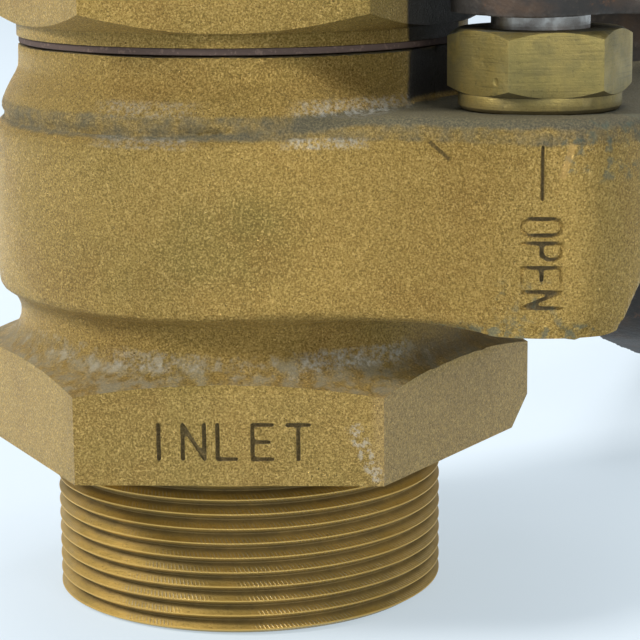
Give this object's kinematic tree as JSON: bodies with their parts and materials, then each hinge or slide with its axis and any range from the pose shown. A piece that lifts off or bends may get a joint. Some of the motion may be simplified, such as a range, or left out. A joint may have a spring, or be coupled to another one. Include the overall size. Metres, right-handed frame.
{
  "type": "quick-opening lever valve",
  "caption": "Bronze quick-opening pipe valve with threaded inlet, hexagon, flat swing-disc chamber, side post boss and cranked iron lever.",
  "frame": {"origin": "centre of the inlet's end face", "axes": "+Z along the flow axis towards the outlet, +X from the flow axis towards the post that swings the disc"},
  "size_m": [0.107, 0.2501, 0.1135],
  "materials": {
    "cast_bronze": "sand-cast bronze, grainy, tarnished",
    "yellow_brass": "machined brass, dulled",
    "turned_bronze": "turned and lapped",
    "stem_steel": "turned stainless steel",
    "dark_iron": "rough dark iron",
    "fibre": "pressed fibre",
    "packing": "graphited braid"
  },
  "bodies": {
    "valve": {"valve_body": "cast_bronze", "outlet_bonnet": "cast_bronze", "bonnet_gasket": "fibre", "seat_ring": "turned_bronze", "upper_bush": "turned_bronze", "lower_bush": "turned_bronze", "thrust_washer": "turned_bronze", "packing_rings": "packing", "packing_follower": "turned_bronze", "gland_nut": "yellow_brass", "drain_plug": "yellow_brass"},
    "stem": {"post": "stem_steel", "arm_pin": "stem_steel", "swing_arm": "cast_bronze", "disc_spring": "stem_steel", "lever": "dark_iron", "lever_washer": "stem_steel", "lever_nut": "stem_steel"},
    "disc": {"valve_disc": "turned_bronze", "disc_washer": "stem_steel", "disc_clip": "stem_steel"}
  },
  "joints": [
    {"name": "post_turn", "type": "hinge", "parent": "valve", "child": "stem", "pos_m": [0.0508, 0, 0.06], "axis": [0, 0, -1], "range_deg": [0, 68]},
    {"name": "disc_spin", "type": "hinge", "parent": "stem", "child": "disc", "pos_m": [0, 0, 0.06], "axis": [0, 0, 1], "continuous": true}
  ]
}
